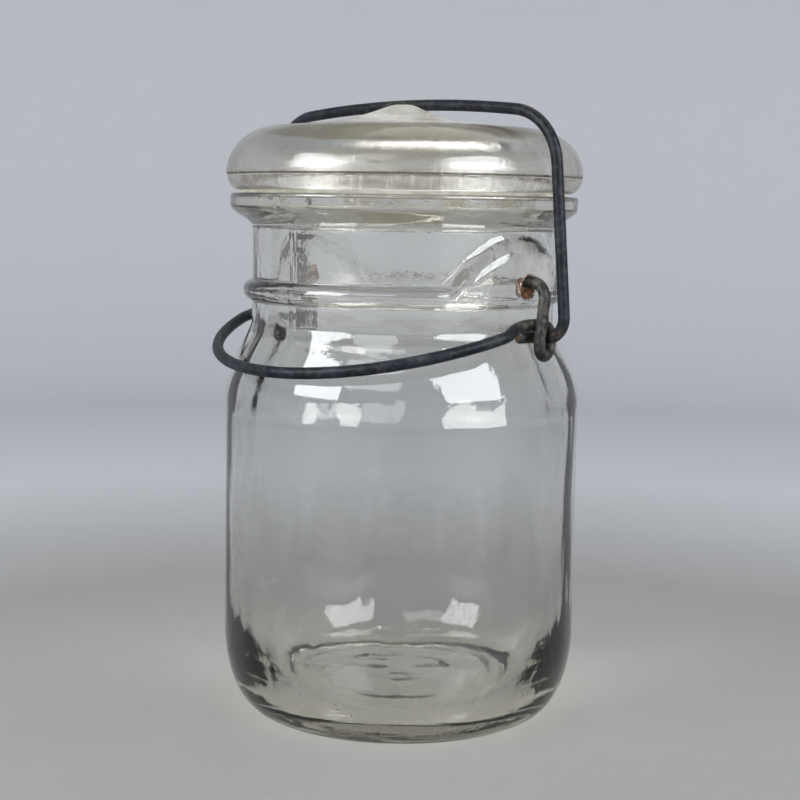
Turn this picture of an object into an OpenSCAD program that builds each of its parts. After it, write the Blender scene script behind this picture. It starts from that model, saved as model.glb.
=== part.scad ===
// Dimple-neck storage jar: a glass jar and a glass lid, a flat rubber ring between them,
// a bail wire over the lid and a lever wire that pulls the bail down.
// Millimetres, +Z up, origin at the centre of the base. The lever turns in two dimples on
// the X axis, its handle reaches towards -Y, and the bail swings back towards +Y.

/* [Jar] */
// Outside radius of the straight body
body_r = 41.25; // [41:0.05:41.5]
// Height where the straight body ends and the shoulder begins
body_top = 75; // [74:0.5:76]
// Thickness of the body's wall
wall = 3.8; // [3.2:0.1:4.2]
// Width of the rounded heel between the contact ring and the body
heel_r = 9.4; // [9:0.1:10]
// Height of the rounded heel
heel_h = 19.3; // [18:0.1:20]
// How far the middle of the base is pushed up from the table
push_up = 1.2; // [0.8:0.1:1.6]
// Thickness of the glass in the middle of the base
base_t = 4.2; // [3.5:0.1:5]

/* [Neck and mouth] */
// Outside radius of the neck
neck_r = 35.1; // [34.9:0.05:35.2]
// Radius of the mouth
mouth_r = 30.5; // [30:0.1:30.8]
// Height of the centre of the bead round the neck
bead_z = 98.5; // [98.2:0.1:98.8]
// Radius of the bead's round section
bead_t = 2.35; // [2.2:0.05:2.45]
// Outside radius of the ledge that carries the lid
ledge_r = 40.2; // [40:0.05:40.4]
// Height of the top of the ledge
ledge_top = 120.5; // [120.4:0.05:120.6]
// Height of the inner lip, which stands up inside the lid
lip_top = 123.8; // [123.4:0.1:124]

/* [Dimples] */
// Radius of the faces of the two raised pads that hold the dimples
pad_face_r = 38.0; // [37.9:0.05:38.1]
// Height of the top of the pads
pad_top = 112; // [111:0.5:113]
// Radius of the pads' arched outline
pad_arch_r = 24.7; // [24:0.1:25]
// Height of the dimples' centre
dimple_z = 100.85; // [100.8:0.05:100.9]
// Radius of the dimples
dimple_r = 2.5; // [2.5:0.05:2.6]
// Distance from the jar's axis to the bottom of each dimple
dimple_floor = 33.4; // [33.2:0.1:33.6]

/* [Seal ring] */
// Thickness of the rubber ring
ring_t = 1.6; // [1.5:0.05:1.6]
// Depth of the groove in the ledge that the ring lies in
groove_d = 1.0; // [1:0.05:1.1]
// Inner radius of the ring
ring_in = 34.1; // [34.05:0.05:34.3]
// Outer radius of the ring
ring_out = 37.6; // [37.2:0.05:37.7]

/* [Lid] */
// Radius of the lid's widest line
lid_r = 41.2; // [41:0.05:41.25]
// Height of the lid's lower face
lid_bottom = 121.15; // [121.15:0.05:121.2]
// Height of the lid's widest line
lid_seam = 125.1; // [125:0.1:125.3]
// Height of the lid's round upper edge
lid_edge_z = 135.8; // [135.5:0.1:136]
// Height of the hollow under the lid
hollow_top = 130.4; // [130:0.1:131]
// Height of the bump's front half, which stops the bail
bump_top = 141.1; // [141:0.05:141.1]
// Height of the bump's rear half, which the bail lies on
shelf_top = 139.45; // [139.3:0.05:139.45]

/* [Wires] */
// Radius of both wires
wire_r = 1.3; // [1.25:0.01:1.3]
// Height of the lever's pivot axis
pivot_z = 102.0; // [101.9:0.05:102]
// Drop from the pivot axis to the bail's hooks
hook_drop = 12.07; // [12:0.01:12.1]
// Distance of the hooks behind the pivot axis
hook_back = 0.9; // [0.8:0.05:1]

/* [Lever] */
// Distance from the jar's axis to the lever's upright strands
strand_x = 42.4; // [42.4:0.05:42.6]
// Radius of the lever's eyes, to the middle of the wire
eye_r = 2.79; // [2.78:0.01:2.79]
// Spare length of the eyes under the hooks
eye_slack = 1.05; // [0.9:0.05:1.2]
// Widest distance from the jar's axis to the handle's sides
handle_w = 41.2; // [41.1:0.05:41.3]
// Reach of the handle's sloping part
handle_reach = 38.0; // [37.8:0.1:38.2]
// Slope of the handle, down from level
handle_droop = 15.6; // [15:0.2:16]

/* [Bail] */
// Height of the middle of the crossbar
bar_z = 141.0; // [141:0.05:141.1]
// Radius of the crossbar's slight crown
bar_crown_r = 320; // [280:10:400]
// Half width of the crossbar, up to its corners
bar_half = 32.1; // [31.9:0.1:32.3]
// Radius of the bail's corners
corner_r = 13; // [12.8:0.1:13.2]
// Outward lean of the bail's legs
leg_lean = 5; // [4.8:0.1:5.2]
// Radius of the bends at the feet of the legs
foot_r = 4.6; // [4.5:0.1:4.8]

/* [Hidden] */
$fn = 96;

glass = [0.78, 0.82, 0.76, 0.5];
rubber = [0.32, 0.27, 0.22];
steel = [0.30, 0.32, 0.36];

neck_z0 = 91;             // where the shoulder meets the neck
flare_z = [112.8, 117.8]; // where the neck flares out into the ledge
inner_r = body_r - wall;
floor_z = push_up + base_t;

X = [1, 0, 0];
function unit(v) = v / norm(v);
function reversed(list) = [for (i = [len(list) - 1:-1:0]) list[i]];

// Points of an ellipse's arc about c, from angle a0 to a1 in n steps
function arc_points(c, rx, ry, a0, a1, n) = [
    for (i = [0:n])
        let (a = a0 + (a1 - a0) * i / n)
            [c[0] + rx * cos(a), c[1] + ry * sin(a)]
];

// ---- Jar -------------------------------------------------------------------------------

// Full at the body and pinched where it meets the neck: t runs from 0 to 1 up the shoulder
function shoulder_fullness(t) = pow(1 - pow(t, 1.7), 1.25);

function shoulder_points(r0, r1, z0, z1, n = 14) = [
    for (i = [0:n])
        let (t = i / n)
            [r1 + (r0 - r1) * shoulder_fullness(t), z0 + (z1 - z0) * t]
];

// A smooth step from r0 to r1
function flare_points(r0, r1, z0, z1, n = 8) = [
    for (i = [0:n])
        let (t = i / n)
            [r0 + (r1 - r0) * (1 - cos(180 * t)) / 2, z0 + (z1 - z0) * t]
];

function jar_outside() =
    let (
        contact_r = body_r - heel_r,
        bead_c = [neck_r - 0.25, bead_z],
        bead_a = acos(0.25 / bead_t)
    )
    concat(
        [[0, push_up], [contact_r - 6, push_up], [contact_r - 3.2, 0.25], [contact_r - 2.2, 0]],
        arc_points([contact_r, heel_h], heel_r, heel_h, -90, 0, 14),
        shoulder_points(body_r, neck_r, body_top, neck_z0),
        arc_points(bead_c, bead_t, bead_t, -bead_a, bead_a, 12),
        flare_points(neck_r, ledge_r, flare_z[0], flare_z[1]),
        arc_points([ledge_r - 0.5, ledge_top - 0.5], 0.5, 0.5, 0, 90, 4)
    );

function jar_inside() =
    let (
        groove_out = ring_out + 0.15,
        groove_in = ring_in - 0.15,
        groove_z = ledge_top - groove_d,
        lip_half = (groove_in - 0.1 - mouth_r) / 2,
        round_z = 14
    )
    concat(
        [[groove_out, ledge_top], [groove_out, groove_z], [groove_in, groove_z]],
        arc_points([mouth_r + lip_half, lip_top - lip_half], lip_half, lip_half, 0, 180, 12),
        reversed(shoulder_points(inner_r, mouth_r, body_top - 5, neck_z0 - 4)),
        arc_points([inner_r - 10, round_z + floor_z - 2], 10, round_z - 2, 0, -90, 10),
        [[0, floor_z]]
    );

module pad_pair() {
    band_in = neck_r - 2;
    intersection() {
        rotate_extrude()
            translate([band_in, bead_z])
                square([pad_face_r - band_in, pad_top - bead_z + 1]);
        translate([0, 0, pad_top - pad_arch_r])
            rotate([0, 90, 0])
                cylinder(r = pad_arch_r, h = 2 * pad_face_r + 2, center = true);
    }
}

module jar() {
    color(glass)
        difference() {
            union() {
                rotate_extrude() polygon(concat(jar_outside(), jar_inside()));
                pad_pair();
            }
            for (side = [0, 180])
                rotate([0, 0, side])
                    translate([dimple_floor, 0, dimple_z])
                        rotate([0, 90, 0])
                            cylinder(r = dimple_r, h = 8);
        }
}

module seal_ring() {
    color(rubber)
        translate([0, 0, ledge_top - groove_d])
            difference() {
                cylinder(r = ring_out, h = ring_t);
                translate([0, 0, -1]) cylinder(r = ring_in, h = ring_t + 2);
            }
}

// ---- Lid -------------------------------------------------------------------------------

// Both profiles share the skirt and the round edge, and differ only in the bump
lid_edge_r = 29.3;
lid_foot_r = 38.2;
skirt_in = 34.7;
lid_split_y = hook_back - wire_r - 0.3; // the bump's step, just in front of the crossbar

function lid_skirt() = concat(
    [[0, hollow_top]],
    arc_points([skirt_in - 6, hollow_top - 6], 6, 6, 90, 0, 8),
    [[skirt_in, lid_bottom], [lid_foot_r, lid_bottom]],
    arc_points([lid_foot_r, lid_seam], lid_r - lid_foot_r, lid_seam - lid_bottom, -75, 0, 6),
    arc_points([lid_edge_r, lid_seam], lid_r - lid_edge_r, lid_edge_z - lid_seam, 6, 90, 14)
);

bump_front = [[24, 0.5], [18, 1.1], [13, 2.0], [8.4, 3.4], [6, 4.2], [4.2, 4.9], [2.6, 5.3]];
bump_rear = [[22, 0.4], [14, 0.7], [10.3, 1.25], [9.1, 1.8], [6.8, 2.7], [4.4, 3.35], [2, 3.6]];

function lid_profile(bump, top) = concat(
    lid_skirt(),
    [for (p = bump) [p[0], lid_edge_z + p[1]]],
    [[0, top]]
);

module lid_half(bump, top, front) {
    intersection() {
        rotate_extrude() polygon(lid_profile(bump, top));
        translate([-50, front ? -50 : lid_split_y, lid_bottom - 1])
            cube([100, front ? 50 + lid_split_y : 50 - lid_split_y, 25]);
    }
}

module lid() {
    color(glass)
        union() {
            lid_half(bump_front, bump_top, true);
            lid_half(bump_rear, shelf_top, false);
        }
}

// ---- Wires -----------------------------------------------------------------------------

// Each wire is a tube swept along the middle line of its bends and straights. Where it turns in
// another piece, a true cylinder covers the tube.
wire_sides = 12;
bend_step = 10;              // degrees between the tube's rings on a bend
tube_r = wire_r - 0.02;      // the tube lies just inside the true cylinders
sleeve_over = 0.6;           // how far a cylinder runs on over the tube

// Points of a bend about c that starts at c + r * u, which is left out, and sets off along v
function bend(c, u, v, r, angle) =
    let (n = max(2, round(angle / bend_step)))
    [for (i = [1:n]) c + r * (cos(angle * i / n) * u + sin(angle * i / n) * v)];

function mirrored(path) = [for (p = path) [-p[0], p[1], p[2]]];

// Direction of the path at each of its points
function headings(path) =
    let (last = len(path) - 1)
    [for (i = [0:last]) unit(path[min(i + 1, last)] - path[max(i - 1, 0)])];

// A direction square to the path, carried along it without twist
function carried(heads, first) = [
    for (
        i = 0, n = first;
        i < len(heads);
        i = i + 1, n = i < len(heads) ? unit(n - (n * heads[i]) * heads[i]) : n
    ) n
];

module tube(path) {
    heads = headings(path);
    normals = carried(heads, unit(cross(heads[0], [0.31, 0.2, 0.93])));
    points = [
        for (i = [0:len(path) - 1])
            for (k = [0:wire_sides - 1])
                let (a = 360 * (k + 0.5) / wire_sides)
                    path[i] + tube_r * (cos(a) * normals[i] + sin(a) * cross(heads[i], normals[i]))
    ];
    last = (len(path) - 1) * wire_sides;
    sides = [
        for (i = [0:len(path) - 2])
            for (k = [0:wire_sides - 1])
                let (a = i * wire_sides + k, b = i * wire_sides + (k + 1) % wire_sides)
                    each [[a, a + wire_sides, b], [b, a + wire_sides, b + wire_sides]]
    ];
    start = [for (k = [0:wire_sides - 1]) k];
    end = [for (k = [wire_sides - 1:-1:0]) last + k];
    polyhedron(points, concat(sides, [start, end]));
}

// A true cylinder along X, from x0 to x1 and its mirror image
module sleeves(x0, x1, y, z) {
    for (side = [0, 1])
        mirror(side * X)
            translate([x0, y, z])
                rotate([0, 90, 0])
                    cylinder(r = wire_r, h = x1 - x0);
}

// The lever, from its pivot end to the middle of the handle
pivot_bend = 4;   // bend between the pivot end and the upright strand
stub_end = 34.9;  // where the pivot end stops, inside its dimple
eye_shift = 2.7;  // how far the wire moves inwards as it goes once round the eye
arm_r = 16;       // bend where the arm leaves the eye
droop_r = 12;     // bend where the arm starts to slope down
flare_r = 9;      // bend where the arm swings outwards
flare_a = 25;     // how far it swings outwards

// The strands lean so that the hooks come out at hook_back and hook_drop
strand_len = sqrt(pow(hook_drop, 2) + pow(hook_back, 2) - pow(eye_r, 2));
lean = atan2(eye_r, strand_len) - atan2(hook_back, hook_drop);
down = [0, -sin(lean), -cos(lean)];
across = [0, cos(lean), -sin(lean)];

pivot = [0, 0, pivot_z];
bend_start = pivot + (strand_x - pivot_bend) * X;
strand_foot = pivot + strand_x * X + (strand_len + eye_slack) * down;
eye_back = strand_foot - eye_shift / 2 * X + 2 * eye_r * across;
eye_low_c = (strand_foot + eye_back) / 2;
eye_turn_r = norm(strand_foot - eye_low_c);
eye_rise = eye_back - eye_slack * down;
eye_top_c = eye_rise - eye_shift / 4 * X - eye_r * across;
top_u = unit(eye_rise - eye_top_c);

// The wire goes round the top of the eye until it heads level towards -Y
top_a = 90 + atan(norm([top_u[1], top_u[2]]) * tan(lean));
arm_start = eye_top_c + eye_turn_r * (cos(top_a) * top_u - sin(top_a) * down);
arm_head = -sin(top_a) * top_u - cos(top_a) * down;
arm_in = atan2(-arm_head[0], -arm_head[1]);

arm_c = arm_start + arm_r * [cos(arm_in), -sin(arm_in), 0];
arm_level = arm_c - arm_r * X;
slope = [0, -cos(handle_droop), -sin(handle_droop)];
arm_slope = arm_level + droop_r * [0, -sin(handle_droop), cos(handle_droop) - 1];

// A point of the handle's sloping plane, x across and v along the slope
function on_slope(x, v) = [x, arm_slope[1], arm_slope[2]] + v * slope;

flare_c = arm_slope[0] + flare_r;
flare_end = [flare_c - flare_r * cos(flare_a), flare_r * sin(flare_a)];
side_r = (handle_w - flare_end[0]) / (1 - cos(flare_a));
side_c = [handle_w - side_r, flare_end[1] + side_r * sin(flare_a)];
front_m = handle_reach - side_c[1];
front_r = (pow(front_m, 2) + pow(side_c[0], 2) - pow(side_r, 2)) / (2 * (front_m - side_r));
front_c = handle_reach - front_r;
front_a = atan2(side_c[0], side_c[1] - front_c);

function lever_half() = concat(
    [pivot + (stub_end + sleeve_over) * X, bend_start],
    bend(bend_start + pivot_bend * down, -down, X, pivot_bend, 90),
    [strand_foot],
    bend(eye_low_c, unit(strand_foot - eye_low_c), down, eye_turn_r, 180),
    [eye_rise],
    bend(eye_top_c, top_u, -down, eye_turn_r, top_a),
    bend(arm_c, [-cos(arm_in), sin(arm_in), 0], [-sin(arm_in), -cos(arm_in), 0], arm_r, arm_in),
    bend(arm_level - droop_r * [0, 0, 1], [0, 0, 1], [0, -1, 0], droop_r, handle_droop),
    bend(on_slope(flare_c, 0), -X, slope, flare_r, flare_a),
    bend(
        on_slope(side_c[0], side_c[1]),
        cos(flare_a) * X - sin(flare_a) * slope,
        sin(flare_a) * X + cos(flare_a) * slope,
        side_r,
        90 - front_a + flare_a
    ),
    bend(
        on_slope(0, front_c),
        sin(front_a) * X + cos(front_a) * slope,
        -cos(front_a) * X + sin(front_a) * slope,
        front_r,
        front_a
    )
);

module lever_wire() {
    half = lever_half();
    mirror_half = reversed(mirrored(half));
    color(steel) {
        tube(concat(half, [for (i = [1:len(half) - 1]) mirror_half[i]]));
        sleeves(stub_end, bend_start[0] - 0.2, 0, pivot_z);
    }
}

// The bail, from the middle of the crossbar to its hook, in the plane y = hook_back
tail_r = 2.2;     // bend where the hook's tail turns forwards beside the neck
tail_len = 2.6;   // straight part of the tail
tail_x = 40.3;    // where the tail's bend begins
tail_turn = 84;   // how far the tail turns

crown_a = asin(bar_half / bar_crown_r);
bar_end = [bar_half, hook_back, bar_z - bar_crown_r * (1 - cos(crown_a))];
corner_c = bar_end - corner_r * [sin(crown_a), 0, cos(crown_a)];
leg_top = corner_c + corner_r * [cos(leg_lean), 0, sin(leg_lean)];
hook_z = pivot_z - hook_drop;
leg_foot_z = hook_z + foot_r * (1 + sin(leg_lean));
leg_foot = leg_top + (leg_top[2] - leg_foot_z) * [tan(leg_lean), 0, -1];
foot_c = leg_foot - foot_r * [cos(leg_lean), 0, sin(leg_lean)];
tail_start = [tail_x, hook_back, hook_z];
tail_c = tail_start - tail_r * [0, 1, 0];
tail_bent = tail_c + tail_r * [-sin(tail_turn), cos(tail_turn), 0];
tail_end = tail_bent + tail_len * [-cos(tail_turn), -sin(tail_turn), 0];

function bail_half() = concat(
    [[0, hook_back, bar_z]],
    bend([0, hook_back, bar_z - bar_crown_r], [0, 0, 1], X, bar_crown_r, crown_a),
    bend(
        corner_c,
        [sin(crown_a), 0, cos(crown_a)],
        [cos(crown_a), 0, -sin(crown_a)],
        corner_r,
        90 - crown_a - leg_lean
    ),
    [leg_foot],
    bend(
        foot_c,
        [cos(leg_lean), 0, sin(leg_lean)],
        [sin(leg_lean), 0, -cos(leg_lean)],
        foot_r,
        90 + leg_lean
    ),
    [tail_start],
    bend(tail_c, [0, 1, 0], -X, tail_r, tail_turn),
    [tail_end]
);

module bail_wire() {
    half = bail_half();
    color(steel) {
        tube(concat(reversed(mirrored(half)), [for (i = [1:len(half) - 1]) half[i]]));
        sleeves(tail_start[0] + 0.1, foot_c[0] - 0.1, hook_back, hook_z);
    }
}

jar();
seal_ring();
lid();
lever_wire();
bail_wire();
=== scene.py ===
"""Looks of a glass storage jar with a wire-bail closure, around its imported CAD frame.

Lengths in this file are written in millimetres and turned into metres by MM where a mesh,
a light or the camera is made. The jar's axis is Z, the lever turns about X, its handle
reaches towards -Y and the bail swings back towards +Y.
"""

import math

import bpy
import numpy as np
from mathutils import Matrix, Vector


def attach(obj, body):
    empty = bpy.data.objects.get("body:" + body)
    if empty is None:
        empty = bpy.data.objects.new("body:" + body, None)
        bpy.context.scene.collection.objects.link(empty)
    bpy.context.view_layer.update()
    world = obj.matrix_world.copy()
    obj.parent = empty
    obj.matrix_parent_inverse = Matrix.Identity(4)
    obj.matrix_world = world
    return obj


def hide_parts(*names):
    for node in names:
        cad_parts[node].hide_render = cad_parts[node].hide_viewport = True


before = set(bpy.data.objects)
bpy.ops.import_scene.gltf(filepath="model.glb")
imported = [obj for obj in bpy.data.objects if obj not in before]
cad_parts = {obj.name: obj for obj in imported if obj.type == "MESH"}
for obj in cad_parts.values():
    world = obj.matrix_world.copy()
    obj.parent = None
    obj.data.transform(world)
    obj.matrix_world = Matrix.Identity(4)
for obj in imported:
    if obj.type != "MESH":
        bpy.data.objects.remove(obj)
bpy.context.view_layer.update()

MM = 0.001

# Driving dimensions, the same as the CAD part's
BODY_R, BODY_TOP, WALL = 41.25, 75.0, 3.8
HEEL_R, HEEL_H = 9.4, 19.3
PUSH_UP, BASE_T = 1.2, 4.2
NECK_R, NECK_Z0, MOUTH_R = 35.1, 91.0, 30.5
BEAD_Z, BEAD_T = 98.5, 2.35
FLARE_Z0, FLARE_Z1 = 112.8, 117.8
LEDGE_R, LEDGE_TOP, LIP_TOP = 40.2, 120.5, 123.8
PAD_FACE_R, PAD_TOP, PAD_ARCH_R = 38.0, 112.0, 24.7
DIMPLE_Z, DIMPLE_R, DIMPLE_FLOOR = 100.85, 2.5, 33.4
RING_IN, RING_OUT, RING_T, GROOVE_D = 34.1, 37.6, 1.6, 1.0
LID_R, LID_BOTTOM, LID_SEAM, LID_EDGE_Z = 41.2, 121.15, 125.1, 135.8
LID_EDGE_R, LID_FOOT_R, LID_SKIRT_IN, LID_HOLLOW_TOP = 29.3, 38.2, 34.7, 130.4
BUMP_TOP, SHELF_TOP = 141.1, 139.45
WIRE_R = 1.3
PIVOT_Z, HOOK_DROP, HOOK_BACK = 102.0, 12.07, 0.9


# ---- Outlines and meshes ----------------------------------------------------------------

def smoothstep(x, low, high):
    t = np.clip((x - low) / (high - low), 0, 1)
    return t * t * (3 - 2 * t)


def smooth_max(a, b, width):
    """The larger of a and b, with a fillet where they are closer than width."""
    h = np.clip(1 - np.abs(a - b) / width, 0, 1)
    return np.maximum(a, b) + h * h * width / 4


def arc(centre, rx, ry, start, end, n):
    """n steps round an ellipse, between two angles in degrees."""
    a = np.radians(np.linspace(start, end, n + 1))
    return np.stack([centre[0] + rx * np.cos(a), centre[1] + ry * np.sin(a)], 1)


def shoulder(r0, r1, z0, z1, n=60):
    """Full at the body and pinched where it meets the neck."""
    t = np.linspace(0, 1, n + 1)
    fullness = (1 - t ** 1.7) ** 1.25
    return np.stack([r1 + (r0 - r1) * fullness, z0 + (z1 - z0) * t], 1)


def flare(r0, r1, z0, z1, n=30):
    """An S-shaped run from the neck out to the ledge."""
    t = np.linspace(0, 1, n + 1)
    return np.stack([r0 + (r1 - r0) * (1 - np.cos(np.pi * t)) / 2, z0 + (z1 - z0) * t], 1)


def along(points):
    """Distance travelled along a row of points, at each of them."""
    steps = np.linalg.norm(np.diff(points, axis=0), axis=1)
    return np.concatenate([[0], np.cumsum(steps)])


def soften(parts, sigma, step=0.1):
    """The parts as one outline, its corners rounded as pressed glass rounds them.
    It starts and ends on the axis."""
    outline = np.vstack([np.atleast_2d(p) for p in parts])
    s = along(outline)
    keep = np.concatenate([[True], np.diff(s) > 1e-9])
    fine = np.arange(0, s[-1], step)
    points = np.stack([np.interp(fine, s[keep], outline[keep, i]) for i in (0, 1)], 1)
    reach = int(4 * sigma / step)
    kernel = np.exp(-0.5 * (np.arange(-reach, reach + 1) * step / sigma) ** 2)
    kernel /= kernel.sum()
    mirror = np.array([-1, 1])
    padded = np.vstack([points[reach:0:-1] * mirror, points, points[-2:-reach - 2:-1] * mirror])
    soft = np.stack([np.convolve(padded[:, i], kernel, "valid") for i in (0, 1)], 1)
    soft[0, 0] = soft[-1, 0] = 0
    return soft


def thin(points, tolerance=0.006, longest=1.6):
    """Keeps only the points that the outline needs: many on its bends and few on its straights."""
    kept, start = [0], 0
    for i in range(2, len(points)):
        chord = points[i] - points[start]
        length = np.linalg.norm(chord)
        between = points[start + 1:i] - points[start]
        off = np.abs(between[:, 0] * chord[1] - between[:, 1] * chord[0]) / max(length, 1e-9)
        if off.max() > tolerance or length > longest:
            start = i - 1
            kept.append(start)
    return points[kept + [len(points) - 1]]


def waves(seed, count, turns, rises):
    """A smooth random pattern over angle and height, from -1 to 1 or so. turns is the highest
    number of waves round the jar, and rises the most radians in a millimetre of height."""
    rng = np.random.default_rng(seed)
    n = rng.integers(2, turns + 1, count)
    k = rng.uniform(-rises, rises, count)
    phase = rng.uniform(0, 2 * np.pi, count)
    size = rng.uniform(0.4, 1, count) / np.sqrt(count / 2)

    def at(angle, z):
        return sum(a * np.cos(m * angle + q * z + p) for a, m, q, p in zip(size, n, k, phase))

    return at


def new_object(name, vertices, faces):
    """A smooth-shaded mesh in the scene, from vertices in millimetres."""
    mesh = bpy.data.meshes.new(name)
    mesh.from_pydata((np.asarray(vertices) * MM).tolist(), [], faces)
    mesh.validate()
    mesh.polygons.foreach_set("use_smooth", [True] * len(mesh.polygons))
    mesh.update()
    obj = bpy.data.objects.new(name, mesh)
    bpy.context.scene.collection.objects.link(obj)
    return obj


def turned(name, radius, angle, height, poles=True):
    """A closed mesh from grids of radius, angle and height, one row for each point of the outline.
    With poles the first and last rows are single points on the axis. Without them the last row
    joins the first."""
    rows, cols = radius.shape
    grid = np.stack([radius * np.cos(angle), radius * np.sin(angle), height], 2)
    i, j = np.meshgrid(np.arange(rows), np.arange(cols), indexing="ij")
    index = i * cols + j
    if not poles:
        beside, above = np.roll(index, -1, 1), np.roll(index, -1, 0)
        quads = np.stack([index, beside, np.roll(above, -1, 1), above], 2)
        return new_object(name, grid.reshape(-1, 3), quads.reshape(-1, 4).tolist())
    inner = grid[1:-1].reshape(-1, 3)
    first, last = len(inner), len(inner) + 1
    index = index[:rows - 2]
    beside = np.roll(index, -1, 1)
    quads = np.stack([index[:-1], beside[:-1], beside[1:], index[1:]], 2).reshape(-1, 4).tolist()
    start = [[first, b, a] for a, b in zip(index[0].tolist(), beside[0].tolist())]
    end = [[last, a, b] for a, b in zip(index[-1].tolist(), beside[-1].tolist())]
    return new_object(name, np.vstack([inner, grid[0, :1], grid[-1, :1]]), quads + start + end)


def set_attribute(obj, name, values):
    attribute = obj.data.attributes.new(name, "FLOAT", "POINT")
    attribute.data.foreach_set("value", np.asarray(values, np.float32))


def point_array(obj):
    co = np.empty(len(obj.data.vertices) * 3, np.float32)
    obj.data.vertices.foreach_get("co", co)
    return co.reshape(-1, 3).astype(float) / MM


# ---- Jar ----------------------------------------------------------------------------------

CORNER_SOFTNESS = 0.22
SEAM_WIDTH, SEAM_HEIGHT = 0.45, 0.16
WARP = 4.0  # half the side of the square of mesh that is drawn in round each dimple
DIMPLE_STEPS = np.array([0, 0.12, 0.28, 0.48, 0.75, 1.1, 1.5, 1.9, 2.2, 2.4, 2.5, 2.6, 2.8, 3.1, 3.5, WARP])
DIMPLE_EDGE = 0.12  # how much of the dimple's radius its wall takes up
PAD_BLEND = 1.1
BASE_RINGS = (  # radius, half width and height of the rings pressed into the base from below
    (21.4, 0.8, 0.75), (18.6, 0.55, 0.4), (14.6, 0.6, 0.5),
    (11.0, 0.8, 0.5), (7.2, 0.6, 0.42), (4.0, 0.5, 0.3),
)
INNER_HEEL_R, INNER_HEEL_H = 11, 22
LEFT_STAIN = 0.45  # the left dimple is less rusty than the right one, which is 1


def jar_outside():
    """From the base's middle up to the ledge."""
    contact_r = BODY_R - HEEL_R
    bead_a = math.degrees(math.acos(0.25 / BEAD_T))
    return [
        [(0, PUSH_UP), (contact_r - 6, PUSH_UP), (contact_r - 3.2, 0.25), (contact_r - 2.2, 0)],
        arc((contact_r, HEEL_H), HEEL_R, HEEL_H, -90, 0, 60),
        shoulder(BODY_R, NECK_R, BODY_TOP, NECK_Z0),
        arc((NECK_R - 0.25, BEAD_Z), BEAD_T, BEAD_T, -bead_a, bead_a, 40),
        flare(NECK_R, LEDGE_R, FLARE_Z0, FLARE_Z1),
        arc((LEDGE_R - 0.5, LEDGE_TOP - 0.5), 0.5, 0.5, 0, 90, 8),
    ]


def jar_inside():
    """From the ledge's groove over the lip and down to the floor's middle."""
    groove_out, groove_in = RING_OUT + 0.15, RING_IN - 0.15
    lip_half = (groove_in - 0.1 - MOUTH_R) / 2
    inner_r, floor_z = BODY_R - WALL, PUSH_UP + BASE_T
    return [
        [(groove_out, LEDGE_TOP), (groove_out, LEDGE_TOP - GROOVE_D), (groove_in, LEDGE_TOP - GROOVE_D)],
        arc((MOUTH_R + lip_half, LIP_TOP - lip_half), lip_half, lip_half, 0, 180, 40),
        shoulder(inner_r, MOUTH_R, BODY_TOP - 5, NECK_Z0 - 4)[::-1],
        arc((inner_r - INNER_HEEL_R, floor_z + INNER_HEEL_H), INNER_HEEL_R, INNER_HEEL_H, 0, -90, 60),
        [(0, floor_z)],
    ]


def jar_columns():
    """Angles of the mesh's columns: even all round, and closer where the dimples are."""
    half = math.asin(WARP / PAD_FACE_R)
    near = np.arcsin(DIMPLE_STEPS / PAD_FACE_R)
    fan = np.concatenate([-near[:0:-1], near])
    rest = np.linspace(half, math.pi - half, 181)[1:-1]
    return np.concatenate([fan, rest, fan + math.pi, rest + math.pi])


def pad_radius(across, z):
    """Radius of the raised pads' faces, and less than the neck's round about them."""
    inside = PAD_ARCH_R - np.hypot(across, z - (PAD_TOP - PAD_ARCH_R))
    above_bead = z - 97.2
    within = -smooth_max(-inside, -above_bead, 1.5)
    low = NECK_R - 1.5
    dome = 0.35 * (across / 20) ** 2
    rise = 1 - (1 - np.clip((within + 0.5) / 5.5, 0, 1)) ** 2.6
    return low + (PAD_FACE_R - dome - low) * rise


def jar_rows():
    """The rows of the jar's mesh, which of them are outside, and the neck's outside outline."""
    outline = soften(jar_outside() + jar_inside(), CORNER_SOFTNESS)
    ledge = int(np.argmax((outline[:, 1] > LEDGE_TOP - 0.3) & (outline[:, 0] < LEDGE_R - 0.6)))
    neck = (outline[:, 1] > BODY_TOP) & (np.arange(len(outline)) < ledge)
    neck_r, neck_z = outline[neck].T
    rows = thin(outline)
    is_out = np.zeros(len(rows), bool)
    is_out[:int(np.argmin(np.linalg.norm(rows - outline[ledge], axis=1)))] = True
    near = is_out & (np.abs(rows[:, 1] - DIMPLE_Z) <= WARP + 0.15)
    first = int(np.argmax(near))
    z = DIMPLE_Z + np.concatenate([-DIMPLE_STEPS[:0:-1], DIMPLE_STEPS])
    band = np.stack([np.interp(z, neck_z, neck_r), z], 1)
    rows = np.vstack([rows[:first], band, rows[first + near.sum():]])
    is_out = np.concatenate([is_out[:first], [True] * len(band), is_out[first + near.sum():]])
    return rows, is_out, neck_z, neck_r


def draw_in(rows, angle, height, out):
    """The square of mesh round each dimple, drawn in to a circle: the new angle and height, and
    u and v, the distances from the dimple's middle round the jar and upwards."""
    side = np.where(np.cos(angle) > 0, 0, math.pi)
    turn = (angle - side + math.pi) % (2 * math.pi) - math.pi
    u, v = PAD_FACE_R * np.sin(turn), height - DIMPLE_Z
    square, round_ = np.maximum(np.abs(u), np.abs(v)), np.maximum(np.hypot(u, v), 1e-9)
    warped = out & (square < WARP) & (rows[:, :1] > NECK_R - 1)
    draw = square / round_ + (1 - square / round_) * smoothstep(square, DIMPLE_R, WARP)
    u, v = np.where(warped, u * draw, u), np.where(warped, v * draw, v)
    angle = np.where(warped, np.arcsin(np.clip(u / PAD_FACE_R, -1, 1)) + side, angle)
    height = np.where(warped, DIMPLE_Z + v, height)
    return angle, height, u, v


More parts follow.
